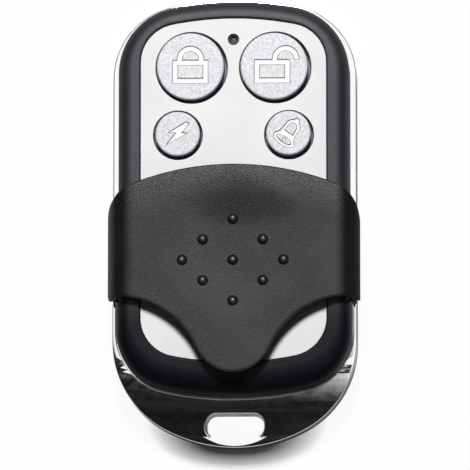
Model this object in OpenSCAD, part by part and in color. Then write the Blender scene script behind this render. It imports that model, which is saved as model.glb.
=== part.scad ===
// Key fob: four push buttons under a cover that slides along the case.
// X runs across the fob, Y towards the lamp end and Z out of the face. The back lies on Z = 0.

/* [Ring frame] */
// Length of the frame
case_l = 60; // [59:0.5:70]
// Width of the frame
case_w = 32.6; // [31.6:0.2:38]
// How far the frame shows past the bezel at the sides
rim_w = 0.9; // [0.7:0.05:1.2]
// How far the frame shows past the bezel at the lamp end
rim_top = 0.7; // [0.4:0.05:1.2]
// Radius of the lamp end
top_r = 46; // [35:1:80]
// Radius of the corners at the lamp end
top_corner_r = 9.9; // [9:0.1:11]
// Radius of the tail end
tail_r = 20; // [18:0.5:40]
// Radius of the corners at the tail
tail_corner_r = 13; // [11:0.5:14]
// Length of the tail that shows below the bezel
tail_l = 6.4; // [6:0.1:9]
// How far the tail's top sinks towards its end
tail_drop = 3.2; // [2:0.1:3.6]
// Length over which the tail's top sinks
tail_run = 18; // [14:0.5:20]
// Height of the frame around the bezel's lower end
frame_h = 7.2; // [6.6:0.1:7.6]
// Height of the ledge that carries the bezel
ledge_z = 5.6; // [5:0.1:5.8]
// Height of the frame's back edge over the back face
frame_foot = 0.5; // [0.3:0.05:0.8]
// Radius of the frame's edges
frame_edge_r = 0.9; // [0.4:0.05:1]
// Thickness of the frame's side wall
frame_t = 2.3; // [2:0.1:2.6]
// Width of the key-ring slot
slot_w = 7.7; // [5:0.1:10]
// Height of the key-ring slot
slot_h = 3.1; // [2.8:0.1:3.4]
// Radius of the slot's corners
slot_r = 1.4; // [0.6:0.1:1.4]
// Metal left between the slot and the tail's end
slot_land = 1.3; // [1.2:0.05:1.6]

/* [Bezel and face plate] */
// Radius of the bezel's lower end
bezel_low_r = 45; // [35:1:80]
// Radius of the bezel's lower corners
bezel_low_corner_r = 8; // [7:0.1:9]
// Radius of the bezel's rounded upper edge
bezel_edge_r = 2; // [1:0.1:2.3]
// How much wider the bezel is below the cover's stop
stop_w = 0.3; // [0.15:0.05:0.5]
// Wall of the bezel's skirt and of the back cover
wall_t = 1; // [0.8:0.1:1.2]
// Thickness of the deck under the face plate
deck_t = 1.2; // [1:0.1:1.6]
// Band of bezel beside the face plate
band_side = 3.05; // [2.7:0.05:3.4]
// Band of bezel above the face plate
band_top = 2.4; // [2.1:0.05:2.8]
// Band of bezel below the face plate
band_bottom = 4.5; // [4:0.1:5]
// Thickness of the face plate
plate_t = 0.5; // [0.3:0.05:0.8]
// Radius of the face plate's ends
plate_r = 42; // [35:1:70]
// Radius of the face plate's corners
plate_corner_r = 5.2; // [4:0.1:6]
// How deep the face plate lies below the bezel's crest
plate_sink = 0.4; // [0.2:0.05:0.6]
// Thickness of the adhesive film
glue_t = 0.1; // [0.05:0.01:0.2]

/* [Buttons] */
// Radius of the lock and unlock caps, as a share of the plate's half width
large_cap_share = 0.363; // [0.33:0.001:0.37]
// Radius of the bolt and bell caps, as a share of the plate's half width
small_cap_share = 0.2405; // [0.21:0.001:0.25]
// Distance of the lock and unlock caps from the middle, as a share of the plate's half width
large_cap_place = 0.451; // [0.445:0.001:0.47]
// Distance of the bolt and bell caps from the middle, as a share of the plate's half width
small_cap_place = 0.599; // [0.56:0.001:0.62]
// Plate left above the lock and unlock caps
cap_margin = 2.17; // [1.9:0.01:2.5]
// Plate left between the two rows of caps
row_land = 1.6; // [1.4:0.05:2.2]
// How far the caps stand over the plate
cap_rise = 0.8; // [0.4:0.05:1.2]
// Depth of the sunk signs
sign_depth = 0.15; // [0.05:0.01:0.25]
// Thickness of a cap's roof
cap_roof = 1.1; // [0.8:0.1:1.4]
// Thickness of a cap's flange
flange_t = 0.9; // [0.6:0.05:1.1]
// Width of a cap's flange past its hole
flange_lip = 0.45; // [0.3:0.05:0.5]
// How far a button travels
press_travel = 0.4; // [0.2:0.05:0.5]
// Distance from the plate's upper edge to the lamp
lamp_row = 2.85; // [2.6:0.05:3]
// Radius of the lamp's lens
lamp_r = 1; // [0.9:0.05:1.05]
// Radius of the lamp hole in the plate
lamp_hole_r = 0.77; // [0.6:0.01:0.9]

/* [Slide cover] */
// Where the cover's arched edge lies, from the middle of the case
cover_top = 7; // [6:0.1:8]
// Where the tongue's tip lies, from the middle of the case
tongue_tip = -20.7; // [-21.5:0.1:-19]
// Where the wings end, from the middle of the case
wing_low = -10.6; // [-11.5:0.1:-9]
// Radius of the arched edge
arch_r = 38; // [32:1:60]
// Radius of the corners between the arch and the wings
cover_corner_r = 5; // [3.5:0.1:6]
// Radius of the hollow flanks beside the tongue
flank_r = 11.6; // [10.5:0.1:16]
// Radius of the tongue's tip
tip_r = 5.2; // [4:0.1:6.5]
// Thickness of the cover's face
cover_t = 1.35; // [1:0.05:1.8]
// Radius across the cover's slightly domed face
dome_r = 130; // [110:5:300]
// Radius of the cover's shoulders
shoulder_r = 3; // [2:0.1:3.4]
// Thickness of the wings
wing_t = 1.15; // [0.8:0.05:1.6]
// Depth of the rails inside the wings
lip_depth = 0.95; // [0.6:0.05:1]
// Height of the rails
lip_t = 0.9; // [0.6:0.05:1]
// How far the cover slides
cover_travel = 18; // [12:0.5:18.2]
// Depth of the thumb dish
dish_depth = 0.5; // [0.2:0.05:0.7]
// Radius of the thumb dish's surface
dish_r = 80; // [60:5:120]
// Where the thumb dish lies, from the middle of the case
dish_y = -4; // [-6:0.5:-2]
// Radius of a grip bump
bump_r = 0.73; // [0.5:0.01:1]
// Height of a grip bump
bump_h = 0.35; // [0.2:0.01:0.45]
// Distance between rows of bumps
bump_row = 2.75; // [2.2:0.05:3]
// Where the middle row of bumps lies, from the middle of the case
bump_y = -5.8; // [-7:0.1:-5]
// Distance from the middle to the inner bumps
bump_inner_x = 4; // [3:0.1:5]
// Distance from the middle to the outer bumps
bump_outer_x = 6.75; // [6:0.05:8]

/* [Back and screws] */
// Thickness of the back cover's floor
back_t = 1.2; // [1:0.1:1.4]
// Height of the parting between the back cover and the bezel's skirt
split_z = 3.5; // [3.4:0.05:3.8]
// Radius of the screw bosses
boss_r = 1.9; // [1.6:0.05:2]
// Radius of a screw's shank
screw_r = 0.8; // [0.6:0.05:0.9]
// Length of a screw's shank
screw_l = 6; // [5:0.1:6.4]
// Radius of a screw's head
head_r = 1.5; // [1.3:0.05:1.6]
// Height of a screw's head
head_h = 0.8; // [0.6:0.05:0.9]

/* [Electronics] */
// Diameter of the battery
battery_d = 7.8; // [7:0.1:8.2]
// Length of the battery
battery_l = 28.2; // [26:0.1:28.4]
// Length of the battery's positive cap
battery_cap_l = 0.8; // [0.5:0.1:1.2]
// Thickness of the contact springs
contact_t = 0.3; // [0.2:0.05:0.4]
// Height of the circuit board's underside
board_z = 2.3; // [2.1:0.05:2.5]
// Thickness of the circuit board
board_t = 1; // [0.8:0.1:1.1]
// Width of a switch
switch_w = 4.5; // [4:0.1:4.6]
// Height of a switch's base
switch_h = 1.9; // [1.7:0.05:2.2]
// Thickness of a switch's steel shell
shell_t = 0.2; // [0.15:0.05:0.3]
// Radius of a switch's plunger
plunger_r = 1.1; // [0.9:0.05:1.2]
// Thickness of a switch's snap dome
snap_t = 0.1; // [0.08:0.01:0.15]
// Length of the encoder chip
chip_l = 8.65; // [8:0.05:9]
// Width of the encoder chip
chip_w = 3.9; // [3.5:0.1:4.2]
// Height of the encoder chip
chip_h = 1.5; // [1.2:0.1:1.8]
// Length of the resonator can
resonator_l = 11; // [9:0.5:12]
// Width of the resonator can
resonator_w = 4.5; // [4:0.1:5]
// Height of the resonator can
resonator_h = 3.2; // [2.5:0.1:3.6]

/* [Clearances] */
// Gap between parts that are fixed to each other
seat_gap = 0.05; // [0.02:0.01:0.08]
// Gap around a part that drops into a recess
drop_gap = 0.1; // [0.05:0.01:0.15]
// Gap around the skirts inside the frame
skirt_gap = 0.15; // [0.1:0.01:0.2]
// Gap between a cap and the deck around it
cap_gap = 0.2; // [0.1:0.01:0.25]
// Gap between a cap and the face plate around it
plate_gap = 0.35; // [0.25:0.01:0.45]
// Gap between the wings and the bezel
wing_gap = 0.2; // [0.15:0.01:0.3]
// Gap around the rails in their grooves
rail_gap = 0.3; // [0.2:0.01:0.4]
// Gap between the cover's face and the caps
cover_gap = 0.75; // [0.5:0.05:1]
// Gap between the cover and its end stops
stop_gap = 0.15; // [0.1:0.01:0.25]
// Gap around the battery
battery_gap = 0.1; // [0.05:0.01:0.2]
// Gap around the circuit board
board_gap = 0.25; // [0.15:0.01:0.3]

/* [Hidden] */
$fn = 48;
far = 100;
cut = 1;
corner_steps = 8;
end_steps = 8;
edge_steps = 5;

signs = ["lock", "unlock", "bolt", "bell"];

// Outlines in plan
frame_w = case_w / 2;
bezel_w = frame_w - rim_w;
bezel_top = case_l / 2 - rim_top;
bezel_low = tail_l - case_l / 2;
core_inset = frame_t - rim_w;
skirt_inset = core_inset + skirt_gap;
cavity_inset = skirt_inset + wall_t;
cavity_w = bezel_w - cavity_inset;
cavity_low = bezel_low + cavity_inset;
plate_w = bezel_w - band_side;
plate_top_y = bezel_top - band_top;
plate_low_y = bezel_low + band_bottom;
slot_y = slot_land + slot_h / 2 - case_l / 2;
tail_start = tail_run - case_l / 2;
bezel_lead_in = 0.8;

// Heights of the stack
battery_z = back_t + battery_gap + battery_d / 2;
trough_r = battery_d / 2 + 2 * battery_gap;
trough_skin = 0.4;
deck_top = battery_z + trough_r + trough_skin;
deck_low = deck_top - deck_t;
plate_z = deck_top + glue_t;
plate_top = plate_z + plate_t;
crest_z = plate_top + plate_sink;
bezel_z = ledge_z + seat_gap;
board_top = board_z + board_t;

// Buttons and switches
large_r = large_cap_share * plate_w;
small_r = small_cap_share * plate_w;
large_x = large_cap_place * plate_w;
small_x = small_cap_place * plate_w;
large_y = plate_top_y - cap_margin - large_r;
small_y = large_y - large_r - row_land - small_r;
lamp_y = plate_top_y - lamp_row;
button_at = [[-large_x, large_y], [large_x, large_y], [-small_x, small_y], [small_x, small_y]];
cap_r = [large_r, large_r, small_r, small_r];
cap_top = plate_top + cap_rise;
flange_top = deck_low - 2 * seat_gap;
stem_z = flange_top - flange_t;
stem_r = 1.4;
cap_wall = 0.9;
cap_edge = 0.2;
sign_line = 0.6;
large_sign_r = 4.48;
small_sign_r = 2.97;
switch_top = board_top + switch_h;
plunger_flange_t = 0.5;
switch_floor = switch_h - plunger_flange_t - 2 * (seat_gap + press_travel);
plunger_flange_r = plunger_r + 2 * drop_gap;
plunger_z = switch_top - seat_gap - plunger_flange_t;
well_r = plunger_flange_r + drop_gap;
shell_drop = 1.2;
shell_tab_w = 1.6;
lamp_base_t = 1;
lamp_base_r = lamp_r + 2 * drop_gap;
lamp_base_z = deck_low - drop_gap - lamp_base_t;
lamp_pipe_r = 0.5;
lead_r = 0.25;
lead_x = 0.6;

// Cover and its track
cover_w = bezel_w + wing_gap + wing_t;
wing_in = bezel_w + wing_gap;
lip_x = wing_in - lip_depth;
groove_x = lip_x - rail_gap / 2;
wing_z = ledge_z + rail_gap + seat_gap;
groove_top = wing_z + lip_t + rail_gap;
cover_under = cap_top + cover_gap;
cover_z = cover_under + cover_t;
tip_at = [0, tongue_tip + tip_r];
wing_at = [cover_w, wing_low];
flank_at = outer_circle(tip_at, wing_at, flank_r, tip_r);
lip_low = flank_at.y + sqrt(pow(flank_r, 2) - pow(flank_at.x - lip_x, 2));
corner_y = cover_top - arch_r + sqrt(pow(arch_r - cover_corner_r, 2) - pow(cover_w - cover_corner_r, 2));
lip_high = corner_y + sqrt(pow(cover_corner_r, 2) - pow(lip_x - cover_w + cover_corner_r, 2));
stop_y = lip_low - stop_gap;
track_top = lip_high + cover_travel + stop_gap;
bump_ball = (bump_r * bump_r + bump_h * bump_h) / (2 * bump_h);

// Screws, between the button rows and in the lower corners
screw_wall = 1.15;
screw_corner = 3;
screw_side = [cavity_w - screw_wall, (large_y + small_y) / 2];
screw_low = [bezel_w - bezel_low_corner_r + screw_corner, bezel_low + bezel_low_corner_r - screw_corner];
screw_at = [for (side = [-1, 1], at = [screw_side, screw_low]) [side * at.x, at.y]];
screw_recess_w = 0.4;
seat_z = head_h + 2 * drop_gap;
boss_low = board_top + seat_gap;
pilot_r = screw_r + seat_gap;
pilot_top = seat_z + screw_l + 2 * drop_gap;

// Battery bay and board
contact_y = cavity_low + 2.5 * board_gap;
dimple_h = 0.4;
battery_low = contact_y + contact_t + dimple_h;
battery_top = battery_low + battery_l;
bay_w = battery_d / 2 + 2 * board_gap;
bay_top = battery_top + contact_t + 2 * board_gap;
contact_w = 6;
contact_h = battery_z - board_top + contact_w / 3;
foot_l = 1.7;
rail_x = (bay_w + cavity_w - board_gap) / 2;
chip_lift = 0.1;
pin_pitch = 1.27;
pin_w = 0.4;
pin_t = 0.2;
pin_reach = 1;
part_space = 1.65;
transistor_size = [1.3, 2.9, 1];
transistor_pin_y = 0.95;
chip_y = (small_y - switch_w / 2 + screw_low.y + boss_r) / 2;
resonator_y = chip_y - (transistor_size.y + part_space) / 2;
transistor_y = chip_y + (resonator_l + part_space) / 2;
resistor_size = [1.6, 0.8, 0.5];
resistor_x = 1.2;
resistor_row = 1.8;
resistor_away = 2;

// A circle of radius r that passes through p and touches, from outside, a circle of radius r0 at c
function outer_circle(c, p, r, r0) =
    let (d = norm(p - c),
         u = (p - c) / d,
         a = (pow(r + r0, 2) - r * r + d * d) / (2 * d),
         h = sqrt(pow(r + r0, 2) - a * a))
    c + a * u + h * [u.y, -u.x];

function arc(c, r, from, to, steps) =
    [for (i = [0:steps]) let (a = from + (to - from) * i / steps) c + r * [cos(a), sin(a)]];

// Right half of a rounded end, from the straight side to the middle: a corner, then a wide arc
function end_half(w, top, r, corner) =
    let (c = [w - corner, top - r + sqrt(pow(r - corner, 2) - pow(w - corner, 2))],
         turn = atan2(c.y - top + r, c.x),
         wide = arc([0, top - r], r, turn, 90, end_steps))
    concat(arc(c, corner, 0, turn, corner_steps),
           [for (i = [1:end_steps - 1]) wide[i]],
           [[0, top]]);

function backwards(points) = [for (i = [len(points) - 1:-1:0]) points[i]];
function upside_down(points) = [for (p = backwards(points)) [p.x, -p.y]];

// Whole outline from its right half, which runs from the lower middle to the upper middle
function closed(half) = concat(half, [for (i = [len(half) - 2:-1:1]) [-half[i].x, half[i].y]]);

function frame_half(inset) = concat(
    upside_down(end_half(frame_w - inset, case_l / 2 - inset, tail_r - inset, tail_corner_r - inset)),
    end_half(frame_w - inset, case_l / 2 - inset, top_r - inset, top_corner_r - inset));

// The bezel's outline, wider by a step below the cover's stop. The lower end can have an inset of its own.
function bezel_half(inset, low_inset, step) =
    let (w = bezel_w - inset, wide = w + step)
    concat(
        upside_down(end_half(wide, -bezel_low - low_inset, bezel_low_r - low_inset,
                             bezel_low_corner_r - inset)),
        step == 0 ? [] : [[wide, stop_y - step], [w, stop_y]],
        end_half(w, bezel_top - inset, top_r - rim_top - inset, top_corner_r - rim_w - inset));

function plate_half(inset) = concat(
    upside_down(end_half(plate_w - inset, -plate_low_y - inset, plate_r - inset, plate_corner_r - inset)),
    end_half(plate_w - inset, plate_top_y - inset, plate_r - inset, plate_corner_r - inset));

function band_outline(inset) = closed(bezel_half(inset, inset, stop_w));
function core_outline(inset) = closed(bezel_half(inset, inset, 0));

function at_height(outline, z) = [for (p = outline) [p.x, p.y, z]];

// Height of the frame's top, which sinks along the tail
function frame_top(y) = frame_h - (y < tail_start ? tail_drop * pow((tail_start - y) / tail_run, 2) : 0);
function below_frame_top(outline, drop) = [for (p = outline) [p.x, p.y, frame_top(p.y) - drop]];

function rounded_box(w, h, r) = concat(
    arc([w / 2 - r, h / 2 - r], r, 0, 90, corner_steps),
    arc([r - w / 2, h / 2 - r], r, 90, 180, corner_steps),
    arc([r - w / 2, r - h / 2], r, 180, 270, corner_steps),
    arc([w / 2 - r, r - h / 2], r, 270, 360, corner_steps));

// Height of the cover's outer surface
function dome_z(x) = cover_z - dome_r + sqrt(dome_r * dome_r - x * x);
function dish_z(x, y) = cover_z - dish_depth + dish_r - sqrt(dish_r * dish_r - x * x - pow(y - dish_y, 2));
function cover_surface(x, y) = min(dome_z(x), dish_z(x, y));

// Solid through a stack of outlines of equal length, each symmetric about X = 0
module loft(rings) {
    n = len(rings[0]);
    m = n / 2;
    last = (len(rings) - 1) * n;
    floor_faces = concat(
        [for (i = [0:m - 2]) [i, i + 1, n - i - 1]],
        [for (i = [1:m - 1]) [i, n - i - 1, n - i]]);
    walls = [for (k = [0:len(rings) - 2], i = [0:n - 1])
        let (a = k * n + i, b = k * n + (i + 1) % n)
        each [[a, a + n, b + n], [a, b + n, b]]];
    roof_faces = [for (f = floor_faces) [f[2] + last, f[1] + last, f[0] + last]];
    polyhedron([for (r = rings) each r], concat(floor_faces, walls, roof_faces));
}

module slab(outline, from, to) {
    translate([0, 0, from])
        linear_extrude(to - from)
            polygon(outline);
}

module post(at, r, from, to) {
    translate([at.x, at.y, from])
        cylinder(r = r, h = to - from);
}

module block(at, size) {
    translate([at.x - size.x / 2, at.y - size.y / 2, at.z])
        cube(size);
}

// Cast ring with the key-ring slot in its tail
module chrome_frame() {
    edge = [for (i = [0:edge_steps]) let (a = 90 * i / edge_steps) frame_edge_r * [1 - sin(a), 1 - cos(a)]];
    outlines = [for (e = edge) closed(frame_half(e.x))];
    low_rings = [for (i = [0:edge_steps]) at_height(outlines[i], frame_foot + edge[i].y)];
    high_rings = [for (i = [edge_steps:-1:0]) below_frame_top(outlines[i], edge[i].y)];
    color("gainsboro")
        difference() {
            loft(concat(low_rings, high_rings));
            slab(core_outline(core_inset), -cut, frame_h + cut);
            slab(band_outline(-skirt_gap), ledge_z, frame_h + cut);
            slab(core_outline(drop_gap), -cut, back_t + seat_gap);
            translate([-far / 2, stop_y - stop_w - stop_gap, ledge_z])
                cube([far, far, far]);
            translate([0, slot_y, 0])
                slab(rounded_box(slot_w, slot_h, slot_r), -cut, frame_h + cut);
        }
}

// Front shell: rounded band, deck under the plate, skirt inside the frame, screw bosses and cover track
module front_bezel() {
    slope = (band_bottom - 1) / bezel_edge_r;
    edge = [for (i = [0:edge_steps]) let (a = 90 * i / edge_steps) bezel_edge_r * [1 - cos(a), sin(a) - 1]];
    rings = concat(
        [at_height(band_outline(0), bezel_z)],
        [for (e = edge) at_height(closed(bezel_half(e.x, e.x * slope, stop_w)), crest_z + e.y)]);
    lead_in = min(bezel_lead_in, band_top - bezel_edge_r);
    color("#26272b")
        difference() {
            union() {
                difference() {
                    union() {
                        loft(rings);
                        slab(core_outline(skirt_inset), split_z + drop_gap, bezel_z + cut);
                    }
                    slab(core_outline(cavity_inset), split_z - cut, deck_low);
                    slab(closed(plate_half(-drop_gap)), deck_top, crest_z + cut);
                    loft([at_height(closed(plate_half(-drop_gap)), plate_top),
                          at_height(closed(plate_half(-drop_gap - lead_in)), crest_z + seat_gap)]);
                }
                for (at = screw_at)
                    intersection() {
                        post(at, boss_r, boss_low, deck_low + seat_gap);
                        slab(core_outline(skirt_inset), boss_low, deck_low + seat_gap);
                    }
            }
            for (at = screw_at)
                post(at, pilot_r, boss_low - cut, pilot_top);
            for (i = [0:3])
                post(button_at[i], cap_r[i] + cap_gap, deck_low - cut, deck_top + cut);
            post([0, lamp_y], lamp_r + drop_gap, deck_low - cut, deck_top - trough_skin);
            post([0, lamp_y], lamp_pipe_r, deck_low, deck_top + cut);
            translate([0, contact_y, battery_z])
                rotate([-90, 0, 0])
                    cylinder(r = trough_r, h = bay_top - contact_y);
            for (side = [-1, 1])
                translate([side * (groove_x + far / 2), (stop_y + track_top) / 2, groove_top - far / 2])
                    cube([far, track_top - stop_y, far], center = true);
        }
}

// Sheet with the holes for the caps and the lamp
module face_plate() {
    color("#e6e5e4")
        slab_with_holes(0, plate_z, plate_top, plate_gap, lamp_hole_r);
}

module plate_adhesive() {
    color("#c9c8b8")
        slab_with_holes(plate_gap, deck_top, plate_z, 2 * plate_gap, lamp_hole_r + drop_gap);
}

module slab_with_holes(inset, from, to, gap, hole_r) {
    difference() {
        slab(closed(plate_half(inset)), from, to);
        for (i = [0:3])
            post(button_at[i], cap_r[i] + gap, from - cut, to + cut);
        post([0, lamp_y], hole_r, from - cut, to + cut);
    }
}

// Back shell: floor in the frame's rebate, wall inside the frame and seats for the board and screws
module back_cover() {
    edge_r = back_t / 2;
    edge = [for (i = [0:edge_steps]) let (a = 90 * i / edge_steps) edge_r * [1 - sin(a), 1 - cos(a)]];
    floor_inset = 2 * drop_gap;
    rings = concat(
        [for (e = edge) at_height(core_outline(floor_inset + e.x), e.y)],
        [at_height(core_outline(floor_inset), back_t)]);
    color("#1d1d1f")
        difference() {
            union() {
                loft(rings);
                difference() {
                    slab(core_outline(skirt_inset), back_t - seat_gap, split_z - drop_gap);
                    slab(core_outline(cavity_inset), back_t - cut, split_z + cut);
                }
                for (at = screw_at)
                    intersection() {
                        post(at, boss_r, back_t - seat_gap, board_z - seat_gap);
                        slab(core_outline(skirt_inset), back_t - cut, board_z);
                    }
            }
            for (at = screw_at) {
                post(at, head_r + 2 * drop_gap, -cut, seat_z);
                post(at, screw_r + drop_gap, 0, split_z + cut);
            }
        }
}

// Four pan-head screws that go in from the back
module case_screws() {
    color("silver")
        for (at = screw_at)
            difference() {
                union() {
                    post(at, head_r, seat_z - head_h, seat_z);
                    post(at, screw_r, seat_z - head_h / 2, seat_z + screw_l);
                }
                for (turn = [0, 90])
                    translate([at.x, at.y, seat_z - head_h])
                        rotate(turn)
                            cube([1.2 * head_r, screw_recess_w, head_h], center = true);
            }
}

// Plan of the cover: tongue tip, hollow flanks and arched upper edge
function cover_half() =
    let (tip_turn = atan2(flank_at.y - tip_at.y, flank_at.x - tip_at.x),
         wing_turn = atan2(wing_at.y - flank_at.y, wing_at.x - flank_at.x),
         tip = arc(tip_at, tip_r, -90, tip_turn, corner_steps),
         flank = arc(flank_at, flank_r, tip_turn + 180, wing_turn, end_steps))
    concat([[0, tongue_tip]],
           [for (i = [1:corner_steps]) tip[i]],
           [for (i = [1:end_steps]) flank[i]],
           end_half(cover_w, cover_top, arch_r, cover_corner_r));

// Section across the cover: domed face, round shoulders, wings and the rails inside them
function cover_section() =
    let (outer = concat([[cover_w, wing_z]], end_half(cover_w, cover_z, dome_r, shoulder_r)),
         inner = concat([[lip_x, wing_z], [lip_x, wing_z + lip_t], [wing_in, wing_z + lip_t]],
                        end_half(wing_in, cover_under, dome_r - cover_t, shoulder_r - wing_t)))
    concat(closed_top(outer), backwards(closed_top(inner)));

function closed_top(half) = concat(half, [for (i = [len(half) - 2:-1:0]) [-half[i].x, half[i].y]]);

module slide_cover() {
    bump_at = concat(
        [for (row = [-2, 0, 2]) [0, bump_y + row * bump_row]],
        [for (row = [-1, 1], side = [-1, 1]) [side * bump_inner_x, bump_y + row * bump_row]],
        [for (side = [-1, 1]) [side * bump_outer_x, bump_y]]);
    color("#4a4b50") {
        difference() {
            intersection() {
                rotate([90, 0, 0])
                    linear_extrude(far, center = true)
                        polygon(cover_section());
                slab(closed(cover_half()), 0, far);
            }
            translate([0, dish_y, cover_z - dish_depth + dish_r])
                sphere(r = dish_r);
        }
        for (at = bump_at)
            translate([at.x, at.y, cover_surface(at.x, at.y) + bump_h - bump_ball])
                sphere(r = bump_ball);
    }
}

// Padlock drawn in outline. Open, its shackle stands on the body with one leg and swings out to the right.
module padlock(open) {
    body = [4.65, 3.05];
    body_at = [open ? -0.25 : 0, -0.7];
    shackle_r = 1.75;
    shackle_at = [open ? 1.55 : 0, 0.95];
    leg_y = body_at.y + body.y / 2 - sign_line / 2 - shackle_at.y;
    inner_r = shackle_r - sign_line;
    translate(body_at)
        difference() {
            square(body, center = true);
            square(body - 2 * sign_line * [1, 1], center = true);
        }
    translate(shackle_at)
        polygon(concat(
            open ? [] : [[shackle_r, leg_y]],
            arc([0, 0], shackle_r, 0, 180, 2 * corner_steps),
            [[-shackle_r, leg_y], [-inner_r, leg_y]],
            arc([0, 0], inner_r, 180, 0, 2 * corner_steps),
            open ? [] : [[inner_r, leg_y]]));
}

module lightning() {
    polygon([[1.14, 1.58], [-1.07, 0.23], [-0.15, 0.2], [-1.35, -1.33],
             [1.14, 0.05], [0.46, 0.14], [1.44, 1.37]]);
}

// Leaning bell in outline, with an oval mouth and a clapper
module bell() {
    lean = 35;
    line = 0.36;
    mouth = [1.5, 0.66];
    mouth_y = -1.05;
    crown_r = 0.98;
    crown_y = 0.95;
    inner_r = crown_r - line;
    skirt_y = mouth_y + mouth.y + line;
    skirt_x = inner_r + line / 3;
    rotate(-lean) {
        difference() {
            union() {
                polygon(concat(
                    arc([0, crown_y], crown_r, 0, 180, corner_steps),
                    [[-mouth.x, mouth_y], [mouth.x, mouth_y]]));
                translate([0, crown_y + crown_r])
                    circle(r = line);
                translate([0, mouth_y])
                    oval(mouth);
            }
            polygon(concat(
                arc([0, crown_y], inner_r, 0, 180, corner_steps),
                [[-skirt_x, skirt_y], [skirt_x, skirt_y]]));
            translate([0, mouth_y])
                oval(mouth - line * [1, 0.9]);
        }
        translate([0, mouth_y])
            circle(r = line / 2);
    }
}

module oval(half_size) {
    polygon([for (a = [0:15:345]) [half_size.x * cos(a), half_size.y * sin(a)]]);
}

// The signs are drawn for caps of one radius each and grow with them
module sign(i) {
    scale(cap_r[i] / (i < 2 ? large_sign_r : small_sign_r)) {
        if (i == 0) padlock(false);
        if (i == 1) padlock(true);
        if (i == 2) lightning();
        if (i == 3) bell();
    }
}

// Hollow cap with a flange under the deck, a stem over its switch and a sunk sign
module button(i) {
    r = cap_r[i];
    flange_r = r + cap_gap + flange_lip;
    roof_z = cap_top - cap_roof;
    color("#d3d6dc")
        translate([button_at[i].x, button_at[i].y, 0])
            difference() {
                rotate_extrude()
                    polygon([[0, stem_z], [stem_r, stem_z], [stem_r, roof_z], [r - cap_wall, roof_z],
                             [r - cap_wall, stem_z], [flange_r, stem_z], [flange_r, flange_top],
                             [r, flange_top], [r, cap_top - cap_edge], [r - cap_edge, cap_top], [0, cap_top]]);
                translate([0, 0, cap_top - sign_depth])
                    linear_extrude(cut)
                        sign(i);
            }
}

// Switch: base with a well, snap dome in it, plunger over the dome and a steel shell that keeps them in
module switch_base(i) {
    color("#202022")
        difference() {
            block([button_at[i].x, button_at[i].y, board_top], [switch_w, switch_w, switch_h]);
            post(button_at[i], well_r, board_top + switch_floor, switch_top + cut);
        }
}

module switch_shell(i) {
    at = button_at[i];
    color("lightgray") {
        difference() {
            block([at.x, at.y, switch_top], [switch_w + 2 * shell_t, switch_w, shell_t]);
            post(at, plunger_r + drop_gap, switch_top - cut, switch_top + cut);
        }
        for (side = [-1, 1])
            block([at.x + side * (switch_w + shell_t) / 2, at.y, switch_top - shell_drop],
                  [shell_t, shell_tab_w, shell_drop + shell_t]);
    }
}

module switch_plunger(i) {
    flange_z = plunger_z + plunger_flange_t;
    color("#e4dfcf")
        translate([button_at[i].x, button_at[i].y, 0])
            rotate_extrude()
                polygon([[0, plunger_z], [plunger_flange_r, plunger_z], [plunger_flange_r, flange_z],
                         [plunger_r, flange_z], [plunger_r, stem_z], [0, stem_z]]);
}

module switch_dome(i) {
    rim_r = plunger_flange_r;
    rim_z = board_top + switch_floor;
    rise = 2 * press_travel;
    ball_r = (rim_r * rim_r + rise * rise) / (2 * rise);
    color("#c8c9cc")
        translate([button_at[i].x, button_at[i].y, rim_z])
            intersection() {
                translate([0, 0, rise - ball_r])
                    difference() {
                        sphere(r = ball_r);
                        sphere(r = ball_r - snap_t);
                    }
                cylinder(r = well_r, h = rise + cut);
            }
}

// Board with a bay for the battery, drilled for the screws and the lamp's leads
module circuit_board() {
    color("#2f6b45")
        difference() {
            slab(core_outline(cavity_inset + board_gap), board_z, board_top);
            translate([-bay_w, cavity_low - far, board_z - cut])
                cube([2 * bay_w, bay_top - cavity_low + far, far]);
            for (at = screw_at)
                post(at, screw_r + board_gap, board_z - cut, board_top + cut);
            for (side = [-1, 1])
                post([side * lead_x, lamp_y], lead_r + seat_gap, board_z - cut, board_top + cut);
        }
}

module status_led() {
    lens_top = deck_top - trough_skin - seat_gap;
    color("#d9dde0") {
        post([0, lamp_y], lamp_base_r, lamp_base_z, lamp_base_z + lamp_base_t);
        post([0, lamp_y], lamp_r, lamp_base_z + lamp_base_t / 2, lens_top);
    }
}

module led_leads() {
    color("silver")
        for (side = [-1, 1])
            post([side * lead_x, lamp_y], lead_r, board_z - lead_r, lamp_base_z);
}

module encoder_chip() {
    color("#232326")
        block([rail_x, chip_y, board_top + chip_lift], [chip_w, chip_l, chip_h]);
}

// Gull-wing pins along both long sides of the chip
module encoder_pins() {
    pins = floor(chip_l / pin_pitch + 0.5);
    color("silver")
        for (side = [0, 1], k = [0:pins - 1])
            translate([rail_x, chip_y + (k - (pins - 1) / 2) * pin_pitch, board_top])
                mirror([side, 0, 0])
                    gull_pin(chip_w / 2, chip_lift + chip_h / 2);
}

module gull_pin(from, height) {
    translate([from, pin_w / 2, 0])
        rotate([90, 0, 0])
            linear_extrude(pin_w)
                polygon([[0, height], [2 * pin_t, height], [2 * pin_t, pin_t], [pin_reach, pin_t],
                         [pin_reach, 0], [pin_t, 0], [pin_t, height - pin_t], [0, height - pin_t]]);
}

module resonator() {
    color("#d8d4c4")
        translate([-rail_x, resonator_y, 0])
            slab(rounded_box(resonator_w, resonator_l, resonator_w / 2 - cap_edge), board_top,
                 board_top + resonator_h);
}

module transmit_transistor() {
    color("#2a2a2d")
        block([-rail_x, transistor_y, board_top + chip_lift], transistor_size);
}

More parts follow.
